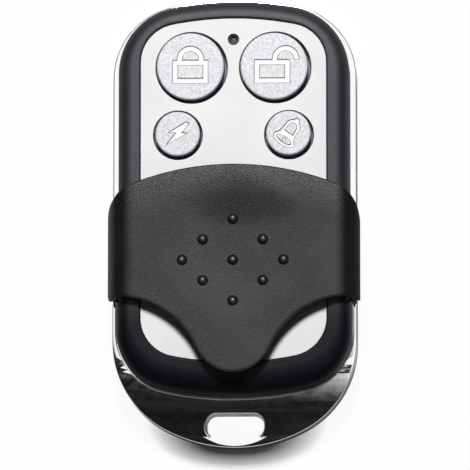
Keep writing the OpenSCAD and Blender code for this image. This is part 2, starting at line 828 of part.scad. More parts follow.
module transistor_pins() {
    color("silver")
        translate([-rail_x, transistor_y, board_top]) {
            for (side = [-1, 1])
                translate([0, side * transistor_pin_y, 0])
                    gull_pin(transistor_size.x / 2, chip_lift + transistor_size.z / 2);
            mirror([1, 0, 0])
                gull_pin(transistor_size.x / 2, chip_lift + transistor_size.z / 2);
        }
}

// Resistors above and below the chip
module chip_resistors() {
    near = chip_l / 2 + resistor_away;
    color("#3a3a3c")
        for (x = [-1, 1], end = [-1, 1], row = [0, 1])
            block([rail_x + x * resistor_x, chip_y + end * (near + row * resistor_row), board_top],
                  resistor_size);
}

// Battery along the bay, with its positive cap towards the lamp end
module along_battery(r, from, to) {
    translate([0, from, battery_z])
        rotate([-90, 0, 0])
            cylinder(r = r, h = to - from);
}

module battery() {
    color("#b9a24a")
        along_battery(battery_d / 2, battery_low, battery_top - battery_cap_l);
}

module battery_cap() {
    color("silver")
        along_battery(battery_d / 4, battery_top - battery_cap_l, battery_top);
}

module positive_contact() {
    y = battery_top + seat_gap;
    reach = bay_top - y + foot_l;
    color("#d6cfa8") {
        block([0, y + contact_t / 2, board_top], [contact_w, contact_t, contact_h]);
        block([0, y + reach / 2, board_top], [contact_w / 2, reach, contact_t]);
    }
}

// Leaf across the bay with a dimple against the battery, and feet on both arms of the board
module negative_contact() {
    y = contact_y + contact_t / 2;
    foot_x = bay_w + foot_l / 2;
    color("#d6cfa8") {
        block([0, y, board_top], [contact_w, contact_t, contact_h]);
        block([0, y, board_top], [2 * foot_x + foot_l, contact_t, contact_t]);
        for (side = [-1, 1])
            block([side * foot_x, contact_y + foot_l / 2, board_top], [foot_l, foot_l, contact_t]);
        along_battery(dimple_h, contact_y, battery_low);
    }
}

chrome_frame();
front_bezel();
face_plate();
plate_adhesive();
back_cover();
case_screws();
slide_cover();
for (i = [0:3]) {
    button(i);
    switch_base(i);
    switch_shell(i);
    switch_plunger(i);
    switch_dome(i);
}
circuit_board();
status_led();
led_leads();
encoder_chip();
encoder_pins();
resonator();
transmit_transistor();
transistor_pins();
chip_resistors();
battery();
battery_cap();
positive_contact();
negative_contact();
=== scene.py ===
import math
import bpy
from mathutils import Matrix, Vector


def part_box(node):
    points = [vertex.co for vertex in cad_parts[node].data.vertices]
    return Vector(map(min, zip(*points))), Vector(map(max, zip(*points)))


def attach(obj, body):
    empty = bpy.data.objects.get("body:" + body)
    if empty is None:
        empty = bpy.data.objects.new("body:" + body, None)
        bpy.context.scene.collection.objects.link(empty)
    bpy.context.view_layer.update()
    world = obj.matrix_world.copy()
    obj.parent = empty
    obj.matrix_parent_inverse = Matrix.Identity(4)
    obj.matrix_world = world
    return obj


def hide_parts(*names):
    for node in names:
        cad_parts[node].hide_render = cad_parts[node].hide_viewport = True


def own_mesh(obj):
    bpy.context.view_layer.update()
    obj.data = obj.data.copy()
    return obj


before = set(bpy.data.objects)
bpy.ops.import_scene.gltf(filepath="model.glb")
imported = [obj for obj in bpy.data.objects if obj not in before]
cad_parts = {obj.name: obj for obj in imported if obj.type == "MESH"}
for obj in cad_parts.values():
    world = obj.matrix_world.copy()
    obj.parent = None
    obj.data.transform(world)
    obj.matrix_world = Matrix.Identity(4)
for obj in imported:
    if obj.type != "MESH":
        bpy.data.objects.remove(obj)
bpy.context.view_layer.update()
print("frame loaded,", len(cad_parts), "nodes")

metre = 0.001  # pieces are modelled in millimetres and made metres when they are done
farAway = 60
slack = 0.01  # how far off a point may be when it is picked by its place
weld = 0.05  # overlap of solids that become one
sideways = (1, 0, 0)


# Small helpers for working as by hand

def toObject():
    bpy.ops.object.mode_set(mode="OBJECT")


def takeAll():
    bpy.ops.mesh.select_all(action="SELECT")


def letGo():
    if bpy.context.mode != "OBJECT":
        toObject()
    bpy.ops.object.select_all(action="DESELECT")


def hold(piece):
    letGo()
    piece.select_set(True)
    bpy.context.view_layer.objects.active = piece


def pick(piece, kind, test):
    # goes into edit mode with the points, edges or faces that pass the test selected
    hold(piece)
    mesh = piece.data
    bpy.context.tool_settings.mesh_select_mode = [kind == each for each in ("VERT", "EDGE", "FACE")]
    for group in (mesh.vertices, mesh.edges, mesh.polygons):
        group.foreach_set("select", [False] * len(group))
    if kind == "VERT":
        mesh.vertices.foreach_set("select", [bool(test(v.co)) for v in mesh.vertices])
    elif kind == "FACE":
        mesh.polygons.foreach_set("select", [bool(test(f.center, f.normal)) for f in mesh.polygons])
    else:
        beside = {}
        for face in mesh.polygons:
            for key in face.edge_keys:
                beside.setdefault(key, []).append(face.normal)
        points = [v.co for v in mesh.vertices]
        chosen = [bool(test(points[e.vertices[0]], points[e.vertices[1]], beside.get(e.key, [])))
                  for e in mesh.edges]
        mesh.edges.foreach_set("select", chosen)
    bpy.ops.object.mode_set(mode="EDIT")


# tests for pick: heights of an edge's ends, and the lie of the faces beside it

def highUp(height, a, b):
    return min(a.z, b.z) > height - slack


def lowDown(height, a, b):
    return max(a.z, b.z) < height + slack


def hasWall(normals, most=0.1):
    return any(abs(n.z) < most for n in normals)


def hasFlat(normals):
    return any(n.z > 0.9 for n in normals)


def pushUp(height):
    bpy.ops.mesh.extrude_region_move(TRANSFORM_OT_translate={"value": (0, 0, height)})


def stepIn(width):
    bpy.ops.mesh.inset(thickness=width, depth=0)


def applyPlace():
    bpy.ops.object.transform_apply(location=True, rotation=True, scale=True)


def takeFaces():
    # into edit mode with every face selected
    applyPlace()
    bpy.ops.object.mode_set(mode="EDIT")
    bpy.ops.mesh.select_mode(type="FACE")
    takeAll()


def closeUp():
    # out of edit mode with every face turned outwards
    takeAll()
    bpy.ops.mesh.normals_make_consistent(inside=False)
    toObject()


class Pen:
    # draws an outline point by point in the XY plane, turning counter-clockwise for positive angles

    def __init__(self, name, x, y):
        letGo()
        bpy.ops.mesh.primitive_plane_add(size=1)
        self.piece = bpy.context.object
        self.piece.name = name
        bpy.ops.object.mode_set(mode="EDIT")
        bpy.ops.mesh.select_mode(type="VERT")
        takeAll()
        bpy.ops.mesh.merge(type="CENTER")
        bpy.ops.transform.translate(value=(x, y, 0))
        self.at = Vector((x, y))

    def line(self, x, y):
        step = Vector((x, y)) - self.at
        if step.length > 1e-5:
            bpy.ops.mesh.extrude_region_move(TRANSFORM_OT_translate={"value": (step.x, step.y, 0)})
            self.at += step
        return self

    def arc(self, x, y, turn, steps):
        bpy.ops.mesh.spin(steps=steps, angle=-math.radians(turn), center=(x, y, 0), axis=(0, 0, 1))
        self.at = Vector((x, y)) + Matrix.Rotation(math.radians(turn), 2) @ (self.at - Vector((x, y)))
        return self

    def solid(self, low, high, mirrored=True):
        takeAll()
        if mirrored:
            bpy.ops.mesh.symmetrize(direction="POSITIVE_X", threshold=0.001)
            takeAll()
        bpy.ops.mesh.remove_doubles(threshold=0.0005)
        bpy.ops.mesh.edge_face_add()
        bpy.ops.transform.translate(value=(0, 0, low))
        pushUp(high - low)
        closeUp()
        return self.piece


def disc(at, radius, low, steps):
    # a round face, left in edit mode and selected
    letGo()
    bpy.ops.mesh.primitive_circle_add(vertices=steps, radius=radius, fill_type="NGON",
                                      location=(at[0], at[1], low))
    takeFaces()
    return bpy.context.object


def rod(at, radius, low, high, steps=64):
    letGo()
    bpy.ops.mesh.primitive_cylinder_add(vertices=steps, radius=radius, depth=high - low,
                                        location=(at[0], at[1], (low + high) / 2))
    return bpy.context.object


def block(low, high):
    letGo()
    middle = [(a + b) / 2 for a, b in zip(low, high)]
    bpy.ops.mesh.primitive_cube_add(size=1, location=middle)
    bpy.context.object.scale = [b - a for a, b in zip(low, high)]
    applyPlace()
    return bpy.context.object


def cut(piece, tool, way="DIFFERENCE"):
    hold(piece)
    change = piece.modifiers.new("cut", "BOOLEAN")
    change.operation = way
    change.solver = "EXACT"
    change.material_mode = "TRANSFER"
    change.object = tool
    bpy.ops.object.modifier_apply(modifier=change.name)
    bpy.data.objects.remove(tool)
    return piece


def slices(piece, low, high, step, along=(0, 1, 0)):
    # plain cuts across the whole piece, so that no face has to close round a hole
    pick(piece, "VERT", lambda p: True)
    at = low
    while at <= high:
        takeAll()
        bpy.ops.mesh.bisect(plane_co=[at * each for each in along], plane_no=along)
        at += step
    toObject()


def sliceOnce(piece, at, along=(0, 1, 0)):
    slices(piece, at, at, 1, along)


def sliceRows(piece, spec):
    # rows from the lower to the upper end, and one cut down the middle
    slices(piece, spec["rowStep"] - spec["low"], spec["top"] - 1, spec["rowStep"])
    sliceOnce(piece, 0, sideways)


def roundEdges(piece, radius, segments, test):
    pick(piece, "EDGE", test)
    bpy.ops.mesh.bevel(offset=radius, offset_type="OFFSET", segments=segments, profile=0.5, affect="EDGES")
    toObject()


def copyOf(piece, shift):
    hold(piece)
    bpy.ops.object.duplicate(linked=False)
    twin = bpy.context.object
    twin.location = Vector(twin.location) + Vector(shift)
    return twin


def join(pieces):
    hold(pieces[0])
    for piece in pieces:
        piece.select_set(True)
    bpy.ops.object.join()
    return bpy.context.object


def dress(piece, finish):
    piece.data.materials.clear()
    piece.data.materials.append(finish)


def done(piece, name, body, finish, nodes=(), smooth=35):
    hold(piece)
    piece.name = name
    piece.data.name = name
    piece.scale = [metre * each for each in piece.scale]
    piece.location = [metre * each for each in piece.location]
    applyPlace()
    bpy.ops.object.shade_smooth_by_angle(angle=math.radians(smooth))
    level = piece.modifiers.new("level", "WEIGHTED_NORMAL")  # wide flat faces keep their own normal
    level.keep_sharp = True
    bpy.ops.object.modifier_apply(modifier=level.name)
    if finish:
        dress(piece, finish)
    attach(piece, body)
    if nodes:
        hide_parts(*nodes)
    print("piece", name, len(piece.data.polygons), "faces")
    return piece


# Shader maths: a value from one node, with the operators that the finishes use

class Flow:
    def __init__(self, finish, socket):
        self.finish = finish
        self.socket = socket

    def maths(self, operation, first, second=0.0):
        return self.finish.node("ShaderNodeMath", {"operation": operation}, {0: first, 1: second})

    def __add__(self, other):
        return self.maths("ADD", self, other)

    def __radd__(self, other):
        return self.maths("ADD", other, self)

    def __sub__(self, other):
        return self.maths("SUBTRACT", self, other)

    def __rsub__(self, other):
        return self.maths("SUBTRACT", other, self)

    def __mul__(self, other):
        return self.maths("MULTIPLY", self, other)

    def __rmul__(self, other):
        return self.maths("MULTIPLY", other, self)

    def __truediv__(self, other):
        return self.maths("DIVIDE", self, other)

    def __pow__(self, other):
        return self.maths("POWER", self, other)

    def __abs__(self):
        return self.maths("ABSOLUTE", self)

    def orMore(self, other):
        return self.maths("MAXIMUM", self, other)


class Finish:
    def __init__(self, tree, output):
        self.tree = tree
        tree.nodes.clear()
        self.end = tree.nodes.new(output)

    def node(self, kind, settings=None, values=None, out=0):
        made = self.tree.nodes.new(kind)
        for key, value in (settings or {}).items():
            setattr(made, key, value)
        for key, value in (values or {}).items():
            if isinstance(value, Flow):
                self.tree.links.new(value.socket, made.inputs[key])
            else:
                made.inputs[key].default_value = value
        return Flow(self, made.outputs[out])

    def place(self, stretch=(1, 1, 1)):
        at = self.node("ShaderNodeTexCoord", out="Object")
        return self.node("ShaderNodeMapping", {}, {"Vector": at, "Scale": stretch})

    def noise(self, scale, detail=2.0, stretch=(1, 1, 1), rough=0.5):
        return self.node("ShaderNodeTexNoise", {}, {"Vector": self.place(stretch), "Scale": scale,
                                                    "Detail": detail, "Roughness": rough})

    def between(self, low, high, value, lowTo=0.0, highTo=1.0):
        return self.node("ShaderNodeMapRange", {}, {"Value": value, "From Min": low, "From Max": high,
                                                    "To Min": lowTo, "To Max": highTo})

    def mix(self, first, second, share):
        return self.node("ShaderNodeMix", {"data_type": "RGBA"},
                         {"Factor": share, 6: first, 7: second}, out=2)

    def bump(self, height, distance, strength):
        return self.node("ShaderNodeBump", {},
                         {"Height": height, "Distance": distance, "Strength": strength})

    def split(self, vector):
        return [self.node("ShaderNodeSeparateXYZ", {}, {"Vector": vector}, out=out) for out in "XYZ"]

    def rays(self, *kinds):
        return [self.node("ShaderNodeLightPath", out="Is %s Ray" % kind) for kind in kinds]

    def show(self, shader):
        self.tree.links.new(shader.socket, self.end.inputs["Surface"])

    def showMixed(self, share, first, second):
        self.show(self.node("ShaderNodeMixShader", {}, {0: share, 1: first, 2: second}))

    def surface(self, values):
        self.show(self.node("ShaderNodeBsdfPrincipled", {}, values))


def newFinish(name):
    material = bpy.data.materials.new(name)
    material.use_nodes = True
    return material, Finish(material.node_tree, "ShaderNodeOutputMaterial")


def rgb(red, green, blue):
    return (red, green, blue, 1.0)


# Finishes: noise scales are per metre, bump depths and zones are in metres

def chromePlating():
    material, f = newFinish("chromePlating")
    haze = f.noise(900, 3)
    ripple = f.noise(260, 1)
    speck = f.noise(4800, 2)
    f.surface({"Base Color": f.mix(rgb(0.92, 0.92, 0.93), rgb(0.96, 0.96, 0.95), haze),
               "Metallic": 1.0, "Roughness": f.between(0.3, 0.7, haze, 0.035, 0.1),
               "Normal": f.bump(ripple + speck * 0.12, 0.00002, 0.25)})
    return material


def plastic(f, dark, pale, rough, grain, depth, shine=0.5, tint=rgb(1, 1, 1), extra=0.0):
    cloud = f.noise(140, 3)
    sand = f.noise(grain, 2, rough=0.6)
    return f.node("ShaderNodeBsdfPrincipled", {}, {
        "Base Color": f.mix(dark, pale, f.between(0.38, 0.62, cloud * 0.25 + sand * 0.75)),
        "Roughness": f.between(0.3, 0.7, sand, rough - 0.06, rough + 0.08) + extra,
        "Specular IOR Level": shine, "Specular Tint": tint, "Normal": f.bump(sand, depth, 0.5)})


def mouldedPlastic(name, *looks):
    material, f = newFinish(name)
    f.show(plastic(f, *looks))
    return material


# the tail finish paints shade over the bezel's lower end
bezelLook = {"dark": rgb(0.003, 0.003, 0.005), "pale": rgb(0.007, 0.007, 0.010), "tint": rgb(0.9, 0.9, 1.0),
             "grain": 5200, "depth": 0.000008, "upperRough": 0.56, "upperShine": 0.7,
             "tailRough": 0.42, "shadedTailShine": 0.14, "tailFrom": -0.006, "tailTo": -0.014}


def bezelPlastic():
    material, f = newFinish("bezelBlack")
    look = bezelLook

    def part(rough, shine):
        return plastic(f, look["dark"], look["pale"], rough, look["grain"], look["depth"], shine,
                       look["tint"])

    y = f.split(f.place())[1]
    # the tail end is a smoother but far less reflective copy of the plastic: painted shade over the bezel's
    # lower end
    upper = part(look["upperRough"], look["upperShine"])
    shadedTail = part(look["tailRough"], look["shadedTailShine"])
    f.showMixed(f.between(look["tailTo"], look["tailFrom"], y, 1, 0), upper, shadedTail)
    return material


# the cover's darker side finish is painted shade, and its left wall band is painted light
coverLook = {"dark": rgb(0.001, 0.001, 0.002), "topPale": rgb(0.044, 0.046, 0.049), "topShine": 0.5,
             "shadePale": rgb(0.012, 0.012, 0.015), "shadeShine": 0.12, "rough": 0.6, "grain": 5600,
             "depth": 0.0002, "archMiddle": -0.031, "strip": (0.0335, 0.0370), "stripGloss": 0.2,
             "rim": (0.03785, 0.03800), "thumbAt": (0.0016, 0.0014), "thumbSize": (0.0075, 0.0029),
             "thumbFade": (0.1, 1.1), "thumbDull": 0.24, "lean": 0.0002, "sides": (0.0134, 0.0147),
             "litLeftWall": (-0.0163, -0.0156), "skinTop": 0.0132, "skinBow": 0.26, "edge": (0.0002, 0.0004),
             "dishMiddle": -0.0037, "pastDish": (0.0094, 0.0104), "beforeSides": (0.0130, 0.0138)}


def coverPlastic():
    material, f = newFinish("coverCharcoal")
    look = coverLook

    def part(pale, shine, extra):
        return plastic(f, look["dark"], pale, look["rough"], look["grain"], look["depth"], shine,
                       extra=extra)

    x, y, z = f.split(f.place())
    fromArch = (x ** 2 + (y - look["archMiddle"]) ** 2) ** 0.5
    # dull patch where the thumb pushes, and a smoother strip along the arched edge
    (thumbX, thumbY), (thumbWide, thumbLong) = look["thumbAt"], look["thumbSize"]
    fromThumb = ((x - thumbX) / thumbWide) ** 2 + ((y - thumbY) / thumbLong) ** 2
    dull = f.between(*look["thumbFade"], fromThumb, look["thumbDull"], 0)
    top = part(look["topPale"], look["topShine"],
               dull - f.between(*look["strip"], fromArch, 0, look["stripGloss"]))
    # a darker, duller copy of the plastic, for painted shade
    side = part(look["shadePale"], look["shadeShine"], 0.0)
    # the sides, the arch's rim and the cut edges below take the darker side finish: painted shade where they
    # turn away from the light
    out = abs(x - look["lean"])
    rim = f.between(*look["rim"], fromArch)
    underSkin = look["skinTop"] - x ** 2 / look["skinBow"] - z
    fromDish = (x ** 2 + (y - look["dishMiddle"]) ** 2) ** 0.5
    edge = f.between(*look["edge"], underSkin) * f.between(*look["pastDish"], fromDish)
    edge = edge * f.between(*look["beforeSides"], out, 1, 0)
    # and the left wall gets the lighter top finish back: painted light
    away = f.between(*look["sides"], out) - f.between(*look["litLeftWall"], x, 1, 0)
    f.showMixed(away.orMore(rim.orMore(edge)), top, side)
    return material


def brushedSheet():
    material, f = newFinish("brushedSheet")
    lines = f.noise(1.0, 3, (9000, 160, 900))
    cloud = f.noise(110, 2)
    shade = f.between(0.3, 0.7, lines * 0.3 + cloud * 0.7)
    f.surface({"Base Color": f.mix(rgb(0.86, 0.85, 0.85), rgb(0.96, 0.95, 0.94), shade),
               "Metallic": 0.01, "Roughness": f.between(0.3, 0.7, lines, 0.46, 0.58),
               "Specular IOR Level": 0.15, "Normal": f.bump(lines, 0.000004, 0.4)})
    return material


def sparklePaint():
    material, f = newFinish("sparklePaint")
    flakes = f.node("ShaderNodeTexVoronoi", {}, {"Vector": f.place(), "Scale": 6500.0}, out="Color")
    flake = f.node("ShaderNodeSeparateColor", {}, {"Color": flakes})
    grain = f.noise(5200, 2)
    glint = f.between(0.2, 0.85, flake * 0.65 + grain * 0.35)
    f.surface({"Base Color": f.mix(rgb(0.56, 0.57, 0.59), rgb(0.78, 0.79, 0.81), glint),
               "Metallic": 0.1, "Roughness": f.between(0.0, 1.0, glint, 0.56, 0.42),
               "Normal": f.bump(flake, 0.00001, 0.3)})
    return material


def bareMetal(name, dark, pale, rough, stretch=(1, 1, 1)):
    material, f = newFinish(name)
    grain = f.noise(1500, 3, stretch)
    f.surface({"Base Color": f.mix(dark, pale, f.between(0.3, 0.7, grain)), "Metallic": 1.0,
               "Roughness": f.between(0.3, 0.7, grain, rough - 0.07, rough + 0.09),
               "Normal": f.bump(grain, 0.000008, 0.4)})
    return material


def cloudy(name, scale, detail, dark, pale, smoothest, roughest, coat=0.0):
    # a plain finish whose colour and gloss drift together
    material, f = newFinish(name)
    cloud = f.noise(scale, detail)
    f.surface({"Base Color": f.mix(dark, pale, cloud),
               "Roughness": f.between(0.3, 0.7, cloud, smoothest, roughest), "Coat Weight": coat})
    return material


def solderMask():
    material, f = newFinish("solderMask")
    tracks = f.node("ShaderNodeTexBrick", {"offset": 0.5}, {
        "Vector": f.place(), "Scale": 420.0, "Mortar Size": 0.035, "Color1": rgb(1, 1, 1),
        "Color2": rgb(1, 1, 1), "Mortar": rgb(0, 0, 0)}, out="Fac")
    cloud = f.noise(300, 3)
    green = f.mix(rgb(0.012, 0.085, 0.035), rgb(0.02, 0.13, 0.055), cloud)
    f.surface({"Base Color": f.mix(green, rgb(0.035, 0.19, 0.08), tracks),
               "Roughness": f.between(0.3, 0.7, cloud, 0.3, 0.42), "Normal": f.bump(tracks, 0.00003, 0.4)})
    return material


chrome = chromePlating()
bezelBlack = bezelPlastic()
coverCharcoal = coverPlastic()
bumpGloss = mouldedPlastic("bumpGloss", rgb(0.006, 0.006, 0.008), rgb(0.010, 0.010, 0.012),
                           0.36, 3600, 0.000006)
backBlack = mouldedPlastic("backBlack", rgb(0.013, 0.013, 0.014), rgb(0.019, 0.019, 0.021),
                           0.5, 3000, 0.00003)
# dark navy for the caps' sides and flanges: painted shade for the gap round each cap
capSideShade = mouldedPlastic("capSideShade", rgb(0.170, 0.170, 0.270), rgb(0.210, 0.210, 0.320),
                         0.4, 4200, 0.00001)
chipEpoxy = mouldedPlastic("chipEpoxy", rgb(0.012, 0.012, 0.013), rgb(0.022, 0.022, 0.023),
                           0.62, 4200, 0.00002)
plungerCream = mouldedPlastic("plungerCream", rgb(0.66, 0.61, 0.50), rgb(0.74, 0.69, 0.58),
                              0.42, 3600, 0.00001)
plate = brushedSheet()
capPaint = sparklePaint()
signWhite = cloudy("whiteInlay", 1500, 2, rgb(0.92, 0.92, 0.92), rgb(0.97, 0.97, 0.97), 0.3, 0.42)
# grey for the rims of the sunk signs: painted shade along their edges
signRimShade = mouldedPlastic("signRimShade", rgb(0.16, 0.16, 0.19), rgb(0.24, 0.24, 0.27), 0.5, 4200, 0.00001)
screwSteel = bareMetal("screwSteel", rgb(0.42, 0.42, 0.43), rgb(0.62, 0.62, 0.63), 0.32)
tinnedLead = bareMetal("tinnedLead", rgb(0.60, 0.60, 0.60), rgb(0.76, 0.76, 0.75), 0.30)
springBrass = bareMetal("springBrass", rgb(0.62, 0.55, 0.36), rgb(0.74, 0.68, 0.50), 0.28, (1, 6, 1))
canSteel = bareMetal("canSteel", rgb(0.58, 0.57, 0.54), rgb(0.72, 0.71, 0.68), 0.26, (6, 1, 1))
lens = cloudy("clearLens", 900, 2, rgb(0.02, 0.02, 0.024), rgb(0.04, 0.04, 0.04), 0.14, 0.24, 0.6)
board = solderMask()
glue = cloudy("adhesiveFilm", 2200, 4, rgb(0.50, 0.49, 0.42), rgb(0.64, 0.63, 0.56), 0.55, 0.75)
wrap = cloudy("batteryWrap", 500, 3, rgb(0.42, 0.33, 0.08), rgb(0.52, 0.42, 0.13), 0.25, 0.38, 0.4)
print("finishes ready")


# Places and outlines that more than one piece takes its fit from

band = {"halfWidth": 15.4, "top": 29.3, "low": 23.6, "topRadius": 45.3, "topCorner": 9.0,
        "lowRadius": 45.0, "lowCorner": 8.0, "step": 0.3, "rowStep": 3, "postBite": 0.2, "postCut": 20}
cover = {"halfWidth": 16.75, "top": 7.0, "archRadius": 38.0, "corner": 5.0, "flank": 11.6,
         "tipRadius": 5.2, "tipEnd": -20.7, "wingEnd": -10.6, "lipX": 14.65, "stopGap": 0.15}
button = {"foot": 7.5, "flangeTop": 8.4, "flange": 0.65, "top": 11.1, "edge": 0.22, "wall": 0.9,
          "roof": 10.0, "stem": 1.4, "splitX": 0.03, "splitY": -0.72, "sideMargin": 0.25, "sideLean": 0.35,
          "signDepth": 0.15, "signLine": 0.6, "signSlope": 0.09, "signMargin": 0.5, "signWall": 0.2,
          "signFrom": 0.05}
lampAt = (0, 24.05)
screwAt = [(side * x, y) for side in (-1, 1) for x, y in ((11.7, 15.72), (10.4, -18.6))]
signs = ("lock", "unlock", "bolt", "bell")
capPlace = {}  # middle and radius of each cap above its flange
for sign in signs:
    lowest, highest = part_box(sign + "_button")
    capPlace[sign] = ((lowest + highest) / 2 / metre, (highest.x - lowest.x) / 2 / metre - button["flange"])


def endOf(halfWidth, top, radius, corner):
    # middle of the corner, and the angle at which it meets the wide end arc
    x = halfWidth - corner
    y = top - radius + math.sqrt((radius - corner) ** 2 - x ** 2)
    return x, y, math.degrees(math.atan2(y - top + radius, x))


def flankCircle(spec):
    # the circle that passes the wing's end and touches the tongue's tip from outside
    tip = Vector((0, spec["tipEnd"] + spec["tipRadius"]))
    wing = Vector((spec["halfWidth"], spec["wingEnd"]))
    reach = spec["flank"] + spec["tipRadius"]
    apart = (wing - tip).length
    along = (wing - tip) / apart
    run = (reach ** 2 - spec["flank"] ** 2 + apart ** 2) / (2 * apart)
    return tip + run * along + math.sqrt(reach ** 2 - run ** 2) * Vector((along.y, -along.x))


flankAt = flankCircle(cover)
lipEnd = flankAt.y + math.sqrt(cover["flank"] ** 2 - (flankAt.x - cover["lipX"]) ** 2)
stopY = lipEnd - cover["stopGap"]


def outline(name, halfWidth, low, lowRadius, lowCorner, top, topRadius, topCorner, step=0.0, fine=1):
    # right half of a rounded outline, from the lower middle to the upper middle
    endSteps, cornerSteps = 12 * fine, 14 * fine
    wide = halfWidth + step
    x, y, turn = endOf(wide, low, lowRadius, lowCorner)
    pen = Pen(name, 0, -low)
    pen.arc(0, lowRadius - low, 90 - turn, endSteps)
    pen.arc(x, -y, turn, cornerSteps)
    if step:  # the cover's stop
        pen.line(wide, stopY - step).line(halfWidth, stopY)
    x, y, turn = endOf(halfWidth, top, topRadius, topCorner)
    pen.line(halfWidth, y)
    pen.arc(x, y, turn, cornerSteps)
    pen.arc(0, top - topRadius, 90 - turn, endSteps)
    return pen


def bandOutline(name, inset, step=0.0):
    size = [band[key] - inset for key in ("halfWidth", "low", "lowRadius", "lowCorner",
                                          "top", "topRadius", "topCorner")]
    return outline(name, *size, step)


def screwPost(at, radius, foot, top, inset):
    # trimmed where it would come through the wall
    post = rod(at, radius, foot, top, 32)
    wall = bandOutline("wall", inset + band["postBite"]).solid(0, band["postCut"])
    return cut(post, wall, "INTERSECT")


# Ring frame

ring = {"halfWidth": 16.3, "end": 30.0, "tailRadius": 20.0, "tailCorner": 13.0, "topRadius": 46.0,
        "topCorner": 9.9, "foot": 0.5, "height": 7.2, "edge": 0.18, "tailStart": -12.0, "tailDrop": 3.2,
        "tailRun": 18.0, "tailStep": 0.6, "sideStep": 4, "ledge": 5.6, "coreInset": 1.4, "pocketGap": 0.15,
        "rebateInset": 0.1, "rebateTop": 1.25, "slotWidth": 7.7, "slotHeight": 3.1, "slotRadius": 1.4,
        "slotY": -27.15, "seatZ": 3.85, "seatRadius": 8.0, "seatEnd": -29.75, "seatTurn": 31.0,
        "seatTop": -28.3, "slotEdge": 0.35, "pocketEdge": 0.06, "ledgeEdge": 0.18, "ledgeFrom": 0.05,
        "cutLow": -1, "cutHigh": 9}


def ringTop(y):
    fall = max(0.0, ring["tailStart"] - y) / ring["tailRun"]
    return ring["height"] - ring["tailDrop"] * fall ** 2


def slotOutline(name):
    halfWidth, halfHeight, radius = ring["slotWidth"] / 2, ring["slotHeight"] / 2, ring["slotRadius"]
    low, high = ring["slotY"] - halfHeight, ring["slotY"] + halfHeight
    pen = Pen(name, 0, low).line(halfWidth - radius, low)
    pen.arc(halfWidth - radius, low + radius, 90, 10)
    pen.line(halfWidth, high - radius)
    pen.arc(halfWidth - radius, high - radius, 90, 10)
    return pen.line(0, high)


def makeRingFrame():
    pen = outline("chromeFrame", ring["halfWidth"], ring["end"], ring["tailRadius"], ring["tailCorner"],
                  ring["end"], ring["topRadius"], ring["topCorner"], fine=2)
    piece = pen.solid(ring["foot"], ring["height"])
    roundEdges(piece, ring["edge"], 7,
               lambda a, b, n: highUp(ring["height"], a, b) or lowDown(ring["foot"], a, b))
    slices(piece, ring["tailStep"] - ring["end"], ring["tailStart"], ring["tailStep"])
    slices(piece, ring["tailStart"] + ring["sideStep"], ring["end"] - ring["sideStep"] / 2, ring["sideStep"])
    sliceOnce(piece, 0, sideways)
    # the tail's top sinks row by row
    upper = (ring["foot"] + ring["height"]) / 2
    rows = sorted({round(v.co.y, 3) for v in piece.data.vertices
                   if v.co.z > upper and v.co.y < ring["tailStart"] - 0.001})
    for row in rows:
        pick(piece, "VERT", lambda p: p.z > upper and abs(p.y - row) < 0.00051)
        bpy.ops.transform.translate(value=(0, 0, ringTop(row) - ring["height"]))
    low, high = ring["cutLow"], ring["cutHigh"]
    cut(piece, bandOutline("core", ring["coreInset"]).solid(low, high))
    cut(piece, bandOutline("pocket", -ring["pocketGap"], band["step"]).solid(ring["ledge"], high))
    cut(piece, bandOutline("rebate", ring["rebateInset"]).solid(low, ring["rebateTop"]))
    trackEnd = stopY - band["step"] - cover["stopGap"]
    cut(piece, block((-farAway, trackEnd, ring["ledge"]), (farAway, farAway, farAway)))
    cut(piece, slotOutline("slot").solid(low, high))
    # a key ring has worn a flat seat into the slot's lower rim
    seat = Pen("seat", 0, ring["seatEnd"])
    seat.arc(0, ring["seatEnd"] + ring["seatRadius"], ring["seatTurn"], 24).line(0, ring["seatTop"])
    cut(piece, seat.solid(ring["seatZ"], high))
    # soft rims round the slot, along the bezel's pocket and along the ledge show as bright lines
    halfSlot = Vector((ring["slotWidth"], ring["slotHeight"])) / 2 + Vector((slack, slack))

    def onHeight(points, heightAt):
        return all(abs(p.z - heightAt(p.y)) < 2 * slack for p in points)

    def slotRim(a, b, n):
        near = all(abs(p.x) < halfSlot.x and abs(p.y - ring["slotY"]) < halfSlot.y for p in (a, b))
        atRim = onHeight((a, b), ringTop) or onHeight((a, b), lambda y: ring["foot"])
        return near and atRim and hasWall(n)

    def pocketRim(a, b, n):
        return onHeight((a, b), ringTop) and hasWall(n) and hasFlat(n) and not slotRim(a, b, n)

    def ledgeRim(a, b, n):
        onLedge = all(abs(p.z - ring["ledge"]) < slack and p.y > trackEnd + ring["ledgeFrom"] for p in (a, b))
        return onLedge and hasFlat(n) and hasWall([m for m in n if m.xy.dot(a.xy) > 0])

    roundEdges(piece, ring["ledgeEdge"], 3, ledgeRim)
    roundEdges(piece, ring["slotEdge"], 4, slotRim)
    roundEdges(piece, ring["pocketEdge"], 3, pocketRim)
    return done(piece, "chromeFrame", "case", chrome, ["chrome_frame"], 30)


# Front bezel and face plate

